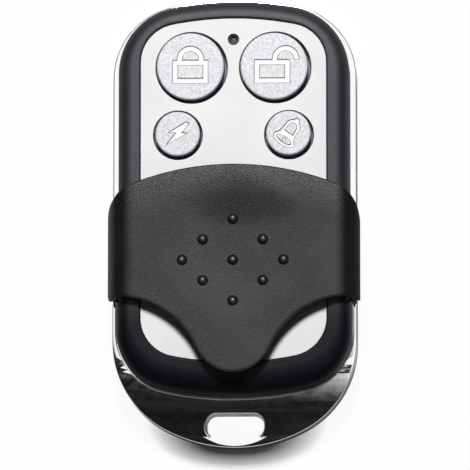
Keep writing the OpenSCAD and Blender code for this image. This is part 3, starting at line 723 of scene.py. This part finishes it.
bezel = {"foot": 5.65, "crest": 10.7, "edge": 2.0, "lowSlope": 1.75, "slopeGap": 2, "skirtInset": 1.55,
         "skirtFoot": 3.6, "skirtLap": 1, "cavityInset": 2.55, "deckLow": 8.5, "deckTop": 9.7, "capGap": 0.2,
         "lipRound": 0.16, "grooveX": 14.5, "grooveTop": 7.15, "trackTop": 22.1, "trough": 4.1,
         "troughZ": 5.2, "troughFrom": -20.42, "troughLength": 29.9, "bossRadius": 1.9, "bossFoot": 3.35,
         "pilot": 0.85, "pilotTop": 7.2, "pipe": 0.5, "lampHole": 1.1, "lampRoof": 0.4, "cutLow": 1,
         "holeLow": 7.5, "cutHigh": 12}
sheet = {"halfWidth": 12.35, "top": 26.9, "low": 19.1, "radius": 42.0, "corner": 5.2, "under": 9.8,
         "over": 10.3, "fit": 0.1, "capGap": 0.35, "lampHole": 0.77, "edge": 0.07, "rowStep": 2,
         "cutLow": 9, "cutHigh": 12}


def sheetOutline(name, grow=0.0):
    halfWidth, low, radius, corner, top = [sheet[key] + grow for key in ("halfWidth", "low", "radius",
                                                                         "corner", "top")]
    return outline(name, halfWidth, low, radius, corner, top, radius, corner)


def makeBezel():
    piece = bandOutline("frontBezel", 0, band["step"]).solid(bezel["foot"], bezel["crest"])
    roundEdges(piece, bezel["edge"], 10, lambda a, b, n: highUp(bezel["crest"], a, b))
    # the lower end rolls down in a longer slope
    spring = bezel["crest"] - bezel["edge"]
    levels = sorted({round(v.co.z, 3) for v in piece.data.vertices if v.co.z > spring + slack})
    for level in levels:
        roll = bezel["edge"] - math.sqrt(max(0.0, bezel["edge"] ** 2 - (level - spring) ** 2))
        pick(piece, "VERT", lambda p: abs(p.z - level) < 0.0015 and p.y < stopY - bezel["slopeGap"])
        bpy.ops.transform.translate(value=(0, (bezel["lowSlope"] - 1) * roll, 0))
    sliceRows(piece, band)
    skirt = bandOutline("skirt", bezel["skirtInset"])
    cut(piece, skirt.solid(bezel["skirtFoot"], bezel["foot"] + bezel["skirtLap"]), "UNION")
    cut(piece, bandOutline("cavity", bezel["cavityInset"]).solid(bezel["cutLow"], bezel["deckLow"]))
    for at in screwAt:
        cut(piece, screwPost(at, bezel["bossRadius"], bezel["bossFoot"], bezel["deckLow"] + weld,
                             bezel["skirtInset"]), "UNION")
        cut(piece, rod(at, bezel["pilot"], bezel["cutLow"], bezel["pilotTop"], 32))
    cut(piece, sheetOutline("recess", sheet["fit"]).solid(bezel["deckTop"], bezel["cutHigh"]))
    for at, radius in capPlace.values():
        cut(piece, rod(at, radius + bezel["capGap"], bezel["holeLow"], bezel["cutHigh"], 96))
    cut(piece, rod(lampAt, bezel["lampHole"], bezel["holeLow"], bezel["deckTop"] - bezel["lampRoof"], 32))
    cut(piece, rod(lampAt, bezel["pipe"], bezel["holeLow"], bezel["cutHigh"], 32))
    tunnel = rod((0, 0), bezel["trough"], 0, bezel["troughLength"])
    tunnel.rotation_euler = (math.radians(-90), 0, 0)
    tunnel.location = (0, bezel["troughFrom"] + bezel["troughLength"] / 2, bezel["troughZ"])
    cut(piece, tunnel)
    for side in (-1, 1):
        ends = sorted((side * bezel["grooveX"], side * farAway))
        cut(piece, block((ends[0], stopY, -farAway), (ends[1], bezel["trackTop"], bezel["grooveTop"])))
    roundEdges(piece, bezel["lipRound"], 5, lambda a, b, n: highUp(bezel["crest"], a, b) and hasWall(n))
    return done(piece, "frontBezel", "case", bezelBlack, ["front_bezel"], 35)


def makeSheet():
    piece = sheetOutline("facePlate").solid(sheet["under"], sheet["over"])
    sliceRows(piece, sheet)
    for at, radius in capPlace.values():
        cut(piece, rod(at, radius + sheet["capGap"], sheet["cutLow"], sheet["cutHigh"], 128))
    cut(piece, rod(lampAt, sheet["lampHole"], sheet["cutLow"], sheet["cutHigh"], 48))
    roundEdges(piece, sheet["edge"], 2, lambda a, b, n: highUp(sheet["over"], a, b) and hasWall(n))
    return done(piece, "facePlate", "case", plate, ["face_plate"], 30)


# Slide cover and its grip bumps

slide = {"wingFoot": 5.95, "lipTop": 6.85, "wingIn": 15.6, "under": 11.85, "over": 13.2, "dome": 130.0,
         "shoulder": 3.0, "planTop": 20, "edge": 0.32, "edgeTurn": 40, "edgeSkin": 0.05, "edgeWall": 0.04,
         "edgeFrom": 0.2, "rowStep": 0.7, "outerSkin": 0.3, "dishAt": (0, -3.7), "dishDepth": 0.72,
         "dishSize": 9.4}
bump = {"radius": 0.73, "height": 0.35, "sink": 0.12, "middle": -5.8, "rowStep": 2.75, "dropFrom": 20,
        "rows": ((0,), (-4.0, 4.0), (-6.75, 0, 6.75), (-4.0, 4.0), (0,))}


def coverSection():
    pen = Pen("slideCover", 0, slide["over"])
    thick = slide["over"] - slide["under"]
    x, y, turn = endOf(cover["halfWidth"], slide["over"], slide["dome"], slide["shoulder"])
    pen.arc(0, slide["over"] - slide["dome"], turn - 90, 18)
    pen.arc(x, y, -turn, 14)
    pen.line(cover["halfWidth"], slide["wingFoot"]).line(cover["lipX"], slide["wingFoot"])
    pen.line(cover["lipX"], slide["lipTop"]).line(slide["wingIn"], slide["lipTop"])
    inner = slide["dome"] - thick
    x, y, turn = endOf(slide["wingIn"], slide["under"], inner,
                       slide["shoulder"] - cover["halfWidth"] + slide["wingIn"])
    pen.line(slide["wingIn"], y)
    pen.arc(x, y, turn, 8)
    pen.arc(0, slide["under"] - inner, 90 - turn, 10)
    piece = pen.solid(-farAway, farAway)
    hold(piece)
    piece.rotation_euler = (math.radians(90), 0, 0)
    applyPlace()
    return piece


def coverPlan():
    tip = Vector((0, cover["tipEnd"] + cover["tipRadius"]))
    tipTurn = math.degrees(math.atan2(flankAt.y - tip.y, flankAt.x - tip.x))
    wingTurn = math.degrees(math.atan2(cover["wingEnd"] - flankAt.y, cover["halfWidth"] - flankAt.x))
    pen = Pen("plan", 0, cover["tipEnd"])
    pen.arc(tip.x, tip.y, tipTurn + 90, 16)
    pen.arc(flankAt.x, flankAt.y, wingTurn - tipTurn - 180, 26)
    x, y, turn = endOf(cover["halfWidth"], cover["top"], cover["archRadius"], cover["corner"])
    pen.line(cover["halfWidth"], y)
    pen.arc(x, y, turn, 12)
    pen.arc(0, cover["top"] - cover["archRadius"], 90 - turn, 20)
    return pen.solid(0, slide["planTop"])


def makeCover():
    piece = cut(coverSection(), coverPlan(), "INTERSECT")

    def skinEdge(a, b, n):
        return (len(n) == 2 and max(m.z for m in n) > slide["edgeSkin"] and hasWall(n, slide["edgeWall"])
                and n[0].angle(n[1]) > math.radians(slide["edgeTurn"])
                and min(a.z, b.z) > slide["lipTop"] + slide["edgeFrom"])

    roundEdges(piece, slide["edge"], 4, skinEdge)
    slices(piece, cover["tipEnd"] + slide["rowStep"], cover["top"], slide["rowStep"])
    # thumb dish: pushed into the outer skin alone
    pick(piece, "FACE", lambda c, n: n.z < slide["outerSkin"])
    bpy.ops.mesh.hide(unselected=False)
    toObject()
    top = [v for v in piece.data.vertices if not v.hide]
    nearest = min(top, key=lambda v: (v.co.xy - Vector(slide["dishAt"])).length).co.copy()
    pick(piece, "VERT", lambda p: (p - nearest).length < 0.001)
    bpy.ops.transform.translate(value=(0, 0, -slide["dishDepth"]), use_proportional_edit=True,
                                proportional_edit_falloff="INVERSE_SQUARE",
                                proportional_size=slide["dishSize"])
    bpy.ops.mesh.reveal(select=False)
    toObject()
    return piece


def makeBumps(carrier):
    ball = (bump["radius"] ** 2 + bump["height"] ** 2) / (2 * bump["height"])
    letGo()
    bpy.ops.mesh.primitive_uv_sphere_add(segments=32, ring_count=24, radius=ball)
    first = bpy.context.object
    pick(first, "VERT", lambda p: True)
    bpy.ops.mesh.bisect(plane_co=(0, 0, ball - bump["height"] - bump["sink"]), plane_no=(0, 0, 1),
                        use_fill=True, clear_inner=True)
    toObject()
    bumps = []
    for row, places in enumerate(bump["rows"], -2):
        y = bump["middle"] + row * bump["rowStep"]
        for x in places:
            skin = carrier.ray_cast((x, y, bump["dropFrom"]), (0, 0, -1))[1]
            bumps.append(copyOf(first, (x, y, skin.z + bump["height"] - ball)))
    bpy.data.objects.remove(first)
    return join(bumps)


# Buttons and their signs

loose = {"lock": (-0.14, 0.08), "unlock": (-0.13, 0.08), "bolt": (0.0, 0.1), "bell": (-0.05, 0.15)}
padlock = {"body": (4.65, 3.05), "bodyY": -0.7, "openBodyX": -0.25, "shackle": 1.75, "shackleY": 0.95,
           "openShackleX": 1.55}
boltCorners = ((-1.07, 0.23), (-0.15, 0.2), (-1.35, -1.33), (1.14, 0.05), (0.46, 0.14), (1.44, 1.37),
               (1.14, 1.58))
bellSize = {"line": 0.33, "mouthX": 1.5, "mouthRise": 0.74, "mouthY": -1.05, "mouthLine": 0.9, "crown": 0.96,
            "crownY": 0.95, "waist": 0.5, "lean": -35}


def ringOfFaces(name, size, at, line, low, high):
    # rectangular ring as a cutting tool
    letGo()
    bpy.ops.mesh.primitive_plane_add(size=1, location=(at[0], at[1], low))
    tool = bpy.context.object
    tool.name = name
    tool.scale = (size[0], size[1], 1)
    takeFaces()
    stepIn(line)
    bpy.ops.mesh.delete(type="FACE")
    takeAll()
    pushUp(high - low)
    closeUp()
    return tool


def lockSign(isOpen, low, high):
    line, body, outer = button["signLine"], padlock["body"], padlock["shackle"]
    inner = outer - line
    bodyAt = (padlock["openBodyX"] if isOpen else 0.0, padlock["bodyY"])
    x, y = (padlock["openShackleX"] if isOpen else 0.0), padlock["shackleY"]
    legY = bodyAt[1] + body[1] / 2 - line / 2
    rightEnd = y if isOpen else legY
    pen = Pen("shackle", x + outer, rightEnd).line(x + outer, y).arc(x, y, 180, 24)
    pen.line(x - outer, legY).line(x - inner, legY).line(x - inner, y).arc(x, y, -180, 24)
    pen.line(x + inner, rightEnd).line(x + outer, rightEnd)
    shackle = pen.solid(low, high, mirrored=False)
    return [ringOfFaces("body", body, bodyAt, line, low, high), shackle]


def boltSign(low, high):
    pen = Pen("boltSign", *boltCorners[-1])
    for x, y in boltCorners:
        pen.line(x, y)
    return [pen.solid(low, high, mirrored=False)]


def bellSign(low, high):
    line, crown, crownY, waist = [bellSize[key] for key in ("line", "crown", "crownY", "waist")]
    mouthX, mouthY, mouthRise = [bellSize[key] for key in ("mouthX", "mouthY", "mouthRise")]
    run, climb = mouthX - crown, waist - mouthY
    flare = (run ** 2 + climb ** 2) / (2 * run)
    inner = crown - line
    skirtX, skirtY = inner + line / 3, mouthY + mouthRise + line

    def oval(halfX, halfY, low, high):
        tool = rod((0, 0), 1, low, high, 48)
        tool.scale = (halfX, halfY, 1)
        tool.location.y = mouthY
        return tool

    pen = Pen("bellSign", 0, mouthY).line(mouthX, mouthY)
    pen.arc(crown + flare, waist, -math.degrees(math.asin(climb / flare)), 8)
    bell = pen.line(crown, crownY).arc(0, crownY, 90, 12).solid(low, high)
    cut(bell, rod((0, crownY + crown), line, low, high, 24), "UNION")
    cut(bell, oval(mouthX, mouthRise, low, high), "UNION")
    hollow = Pen("hollow", 0, skirtY).line(skirtX, skirtY).line(inner, crownY).arc(0, crownY, 90, 12)
    cut(bell, hollow.solid(low - 1, high + 1))
    cut(bell, oval(mouthX - line, mouthRise - bellSize["mouthLine"] * line, low - 1, high + 1))
    clapper = rod((0, mouthY), line / 2, low, high, 20)
    lean = Matrix.Rotation(math.radians(bellSize["lean"]), 4, "Z")
    for tool in (bell, clapper):
        bpy.context.view_layer.update()
        tool.matrix_world = lean @ tool.matrix_world
    return [bell, clapper]


def makeCap(sign):
    at, radius = capPlace[sign]
    piece = disc((0, 0), radius + button["flange"], button["foot"], 128)
    pushUp(button["flangeTop"] - button["foot"])
    stepIn(button["flange"])
    pushUp(button["top"] - button["flangeTop"])
    toObject()
    # hollow underside with the stem in its middle
    pick(piece, "FACE", lambda c, n: c.z < button["foot"] + slack and abs(n.z) > 0.9)
    stepIn(button["flange"] + button["wall"])
    pushUp(button["roof"] - button["foot"])
    stepIn(radius - button["wall"] - button["stem"])
    pushUp(button["foot"] - button["roof"])
    closeUp()
    roundEdges(piece, button["edge"], 5, lambda a, b, n: highUp(button["top"], a, b))
    sliceOnce(piece, button["splitX"], sideways)
    sliceOnce(piece, button["splitY"])
    dress(piece, capPaint)
    # the sign is sunk into the top, with white walls and floor
    low, high = button["top"] - button["signDepth"], button["top"] + 1
    if sign == "bolt":
        tools = boltSign(low, high)
    elif sign == "bell":
        tools = bellSign(low, high)
    else:
        tools = lockSign(sign == "unlock", low, high)
    for tool in tools:
        dress(tool, signWhite)
        cut(piece, tool)

    def signRim(a, b, n):
        return (max(a.xy.length, b.xy.length) < radius - button["signMargin"]
                and min(a.z, b.z) > low + button["signFrom"]
                and hasWall(n, button["signWall"]) and hasFlat(n))

    # grey rims round the sunk sign: painted shade along its edges
    piece.data.materials.append(signRimShade)
    pick(piece, "EDGE", signRim)
    bpy.ops.mesh.bevel(offset=button["signSlope"], offset_type="OFFSET", segments=1, affect="EDGES",
                       material=len(piece.data.materials) - 1)
    toObject()
    # the sides and the flange get a dark navy finish instead of the silver: painted shade for the gap round
    # the cap
    piece.data.materials.append(capSideShade)
    dark = len(piece.data.materials) - 1
    for face in piece.data.polygons:
        onSide = face.center.xy.length > radius - button["sideMargin"]
        if onSide and abs(face.normal.z) < button["sideLean"]:
            face.material_index = dark
        if face.center.z < button["flangeTop"] + slack:
            face.material_index = dark
    piece.location = (at.x + loose[sign][0], at.y + loose[sign][1], 0)
    return done(piece, sign + "Cap", sign + "_press", None, [sign + "_button"], 32)


# Back cover and screws

back = {"inset": 0.2, "floor": 1.2, "edge": 0.6, "wallInset": 1.55, "wallTop": 3.4, "cavityInset": 2.55,
        "bossRadius": 1.9, "bossTop": 2.25, "headHole": 1.7, "seat": 1.0, "shankHole": 0.9, "cutLow": -1,
        "cutHigh": 9}
screw = {"head": 1.5, "headFoot": 0.2, "seat": 1.0, "shank": 0.8, "end": 7.0, "round": 0.35, "turns": 12,
         "root": 0.82, "point": 0.6, "pointShare": 0.45, "slotLength": 1.8, "slotWidth": 0.4,
         "slotDepth": 0.42, "turned": (12, 50, 31, 74)}


def makeBack():
    piece = bandOutline("backCover", back["inset"]).solid(0, back["floor"])
    roundEdges(piece, back["edge"], 6, lambda a, b, n: lowDown(0, a, b))
    sliceRows(piece, band)
    rim = bandOutline("rim", back["wallInset"]).solid(back["floor"] - weld, back["wallTop"])
    cut(piece, rim, "UNION")
    cut(piece, bandOutline("cavity", back["cavityInset"]).solid(back["floor"], back["cutHigh"]))
    for at in screwAt:
        cut(piece, screwPost(at, back["bossRadius"], back["floor"] - weld, back["bossTop"],
                             back["wallInset"]), "UNION")
        cut(piece, rod(at, back["headHole"], back["cutLow"], back["seat"], 48))
        cut(piece, rod(at, back["shankHole"], 0, back["cutHigh"], 32))
    return done(piece, "backCover", "case", backBlack, ["back_cover"], 35)


def makeScrews():
    first = disc((0, 0), screw["head"], screw["headFoot"], 48)
    pushUp(screw["seat"] - screw["headFoot"])
    stepIn(screw["head"] - screw["shank"])
    # a thread of stepped turns, then a blunt point
    pitch = (screw["end"] - screw["seat"] - screw["point"]) / screw["turns"]
    steps = [(pitch / 2, screw["root"]), (pitch / 2, 1 / screw["root"])] * screw["turns"]
    for rise, growth in steps + [(screw["point"], screw["pointShare"])]:
        pushUp(rise)
        bpy.ops.transform.resize(value=(growth, growth, 1))
    closeUp()
    roundEdges(first, screw["round"], 5, lambda a, b, n: lowDown(screw["headFoot"], a, b))
    half = screw["slotLength"] / 2, screw["slotWidth"] / 2
    for x, y in (half, half[::-1]):
        cut(first, block((-x, -y, -1), (x, y, screw["headFoot"] + screw["slotDepth"])))
    screws = [copyOf(first, (x, y, 0)) for x, y in screwAt]
    for turned, each in zip(screw["turned"], screws):
        each.rotation_euler = (0, 0, math.radians(turned))
    bpy.data.objects.remove(first)
    return done(join(screws), "caseScrews", "case", screwSteel, ["case_screws"], 32)


# Indicator lamp and the snap domes of the switches

lamp = {"base": 1.2, "baseFoot": 7.4, "baseTop": 8.4, "radius": 1.0, "top": 9.25, "round": 0.7}
snap = {"radius": 1.3, "foot": 3.8, "apex": 4.6, "thick": 0.1, "rings": 7, "keep": 0.5}


def makeLamp():
    piece = disc(lampAt, lamp["base"], lamp["baseFoot"], 48)
    pushUp(lamp["baseTop"] - lamp["baseFoot"])
    stepIn(lamp["base"] - lamp["radius"])
    pushUp(lamp["top"] - lamp["baseTop"])
    closeUp()
    roundEdges(piece, lamp["round"], 6, lambda a, b, n: highUp(lamp["top"], a, b))
    return done(piece, "statusLamp", "case", lens, ["status_led"], 40)


def makeSnaps():
    rise = snap["apex"] - snap["foot"]
    ball = (snap["radius"] ** 2 + rise ** 2) / (2 * rise)
    ringStep = snap["radius"] / (snap["rings"] + 0.5)
    for sign in signs:
        at = capPlace[sign][0]
        piece = disc(at, snap["radius"], snap["foot"], 40)
        height = 0.0
        for ringNumber in range(1, snap["rings"] + 1):
            stepIn(ringStep)
            out = snap["radius"] - ringNumber * ringStep
            level = math.sqrt(ball ** 2 - out ** 2) - ball + rise
            bpy.ops.transform.translate(value=(0, 0, level - height))
            height = level
        toObject()
        skin = piece.modifiers.new("skin", "SOLIDIFY")
        skin.thickness = snap["thick"]
        skin.offset = -1
        bpy.ops.object.modifier_apply(modifier=skin.name)
        done(piece, sign + "SnapDome", "case", springBrass, [sign + "_switch_dome"], 40)
        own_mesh(piece)


makeRingFrame()
makeBezel()
makeSheet()
slideCover = makeCover()
gripBumps = makeBumps(slideCover)
done(slideCover, "slideCover", "cover", coverCharcoal, ["slide_cover"], 35)
done(gripBumps, "gripBumps", "cover", bumpGloss, smooth=60)
for sign in signs:
    makeCap(sign)
makeBack()
makeScrews()
makeLamp()
makeSnaps()

# Finishes for the nodes that keep their CAD shape

kept = {"plate_adhesive": glue, "circuit_board": board, "led_leads": tinnedLead, "encoder_chip": chipEpoxy,
        "encoder_pins": tinnedLead, "resonator": canSteel, "transmit_transistor": chipEpoxy,
        "transistor_pins": tinnedLead, "chip_resistors": chipEpoxy, "battery": wrap, "battery_cap": canSteel,
        "positive_contact": springBrass, "negative_contact": springBrass}
for sign in signs:
    kept[sign + "_switch_base"] = chipEpoxy
    kept[sign + "_switch_shell"] = canSteel
    kept[sign + "_switch_plunger"] = plungerCream
for name, finish in kept.items():
    dress(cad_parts[name], finish)
print("kept nodes dressed:", len(kept))


# Floor, light and camera

paper = {"size": 6.0, "colour": rgb(0.93, 0.93, 0.93), "greyInReflection": rgb(0.6, 0.6, 0.6), "white": 0.94,
         "tailMiddle": -0.01, "tailRadius": 0.02, "shadeWide": 0.0118, "shadeAbove": 0.0005,
         "shadeBelow": 0.003, "shadeFade": (0.15, 1.1), "footprint": (0.0163, 0.03), "nearFade": (1.0, 6.0),
         "nearWhite": 0.1, "farWhite": 0.6}
room = {"fill": 0.012, "bright": 1.0, "dark": 0.008, "panelFrom": (-0.25, -0.12), "panelHeight": (0.7, 0.93),
        "rightPull": 0.5, "leanAt": (-0.06, -0.02), "lean": 0.11, "clutter": 0.06, "clutterScale": 26.0,
        "clutterFrom": (0.5, 0.8)}
keyLight = {"at": (0.0, 0.265, 0.48), "size": 0.11, "power": 2.9}
view = {"aim": (0.05, -1.76, 6.5), "tilt": 6.8, "yaw": 2.44, "distance": 800.0, "frameWidth": 62.717,
        "sensor": 36, "nearest": 0.01, "farthest": 20}


def makeFloor():
    letGo()
    bpy.ops.mesh.primitive_plane_add(size=paper["size"])
    floor = bpy.context.object
    floor.name = "floor"
    material, f = newFinish("floorWhite")
    camera, glossy, clear = f.rays("Camera", "Glossy", "Transmission")
    metal = (1 - camera) * glossy.orMore(clear)
    # metal sees the paper in a greyer tone: a painted darker reflection
    tone = f.mix(paper["colour"], paper["greyInReflection"], metal)
    chalk = f.node("ShaderNodeBsdfDiffuse", {}, {"Color": tone})
    glow = f.node("ShaderNodeEmission", {}, {"Color": rgb(1, 1, 1), "Strength": 1.0})
    # glow paints the paper white over its shadow all round, also where it shows through the key ring slot,
    # and leaves the shadow below the tail
    x, y = f.split(f.place())[:2]
    out = (x ** 2 + (y - paper["tailMiddle"]) ** 2) ** 0.5 - paper["tailRadius"]
    past = (out / paper["shadeBelow"]).orMore(out / -paper["shadeAbove"])
    far = ((x / paper["shadeWide"]) ** 4 + past ** 2) ** 0.5
    # close to the object metal shows the shaded paper, further off more of the glow
    near = (x / paper["footprint"][0]) ** 4 + (y / paper["footprint"][1]) ** 4
    seen = camera + metal * f.between(*paper["nearFade"], near, paper["nearWhite"], paper["farWhite"])
    f.showMixed(seen * f.between(*paper["shadeFade"], far, 0, paper["white"]), chalk, glow)
    floor.data.materials.append(material)


def makeRoom():
    world = bpy.data.worlds.new("softRoom")
    bpy.context.scene.world = world
    world.use_nodes = True
    f = Finish(world.node_tree, "ShaderNodeOutputWorld")
    camera, glossy = f.rays("Camera", "Glossy")
    heading = f.node("ShaderNodeTexCoord", out="Generated")
    right, ahead, height = f.split(heading)
    # a white panel overhead, open and dark towards the tail and low down all round
    reach = ahead.orMore(ahead + right * room["rightPull"])
    reach = reach + f.between(*room["leanAt"], right, -room["lean"], room["lean"])
    panel = f.between(*room["panelFrom"], reach) * f.between(*room["panelHeight"], height)
    clutter = f.node("ShaderNodeTexNoise", {}, {"Vector": heading, "Scale": room["clutterScale"],
                                                "Detail": 5.0})
    clutter = f.between(*room["clutterFrom"], clutter, 0, room["clutter"])
    level = room["dark"] + clutter + panel * (room["bright"] - room["dark"])
    strength = camera + (1 - camera) * (glossy * level + (1 - glossy) * room["fill"])
    f.show(f.node("ShaderNodeBackground", {}, {"Color": rgb(1, 1, 1), "Strength": strength}))


def makeKeyLight():
    letGo()
    bpy.ops.object.light_add(type="AREA", location=keyLight["at"])
    key = bpy.context.object
    key.name = "keyLight"
    key.data.shape = "SQUARE"
    key.data.size = keyLight["size"]
    key.data.energy = keyLight["power"]
    key.rotation_euler = Vector(keyLight["at"]).to_track_quat("Z", "Y").to_euler()


def makeCamera():
    tilt, yaw = math.radians(view["tilt"]), math.radians(view["yaw"])
    away = Vector((math.sin(yaw) * math.cos(tilt), -math.sin(tilt), math.cos(yaw) * math.cos(tilt)))
    away.normalize()
    right = Vector((0, 1, 0)).cross(away).normalized()
    up = away.cross(right)
    at = (Vector(view["aim"]) + view["distance"] * away) * metre
    letGo()
    bpy.ops.object.camera_add(location=at)
    eye = bpy.context.object
    eye.name = "photoCamera"
    eye.matrix_world = Matrix.Translation(at) @ Matrix((right, up, away)).transposed().to_4x4()
    eye.data.sensor_fit = "HORIZONTAL"
    eye.data.sensor_width = view["sensor"]
    eye.data.lens = view["sensor"] * view["distance"] / view["frameWidth"]
    eye.data.clip_start = view["nearest"]
    eye.data.clip_end = view["farthest"]
    bpy.context.scene.camera = eye


makeFloor()
makeRoom()
makeKeyLight()
makeCamera()
bpy.context.scene.view_settings.view_transform = "Standard"
print("stage set")

letGo()
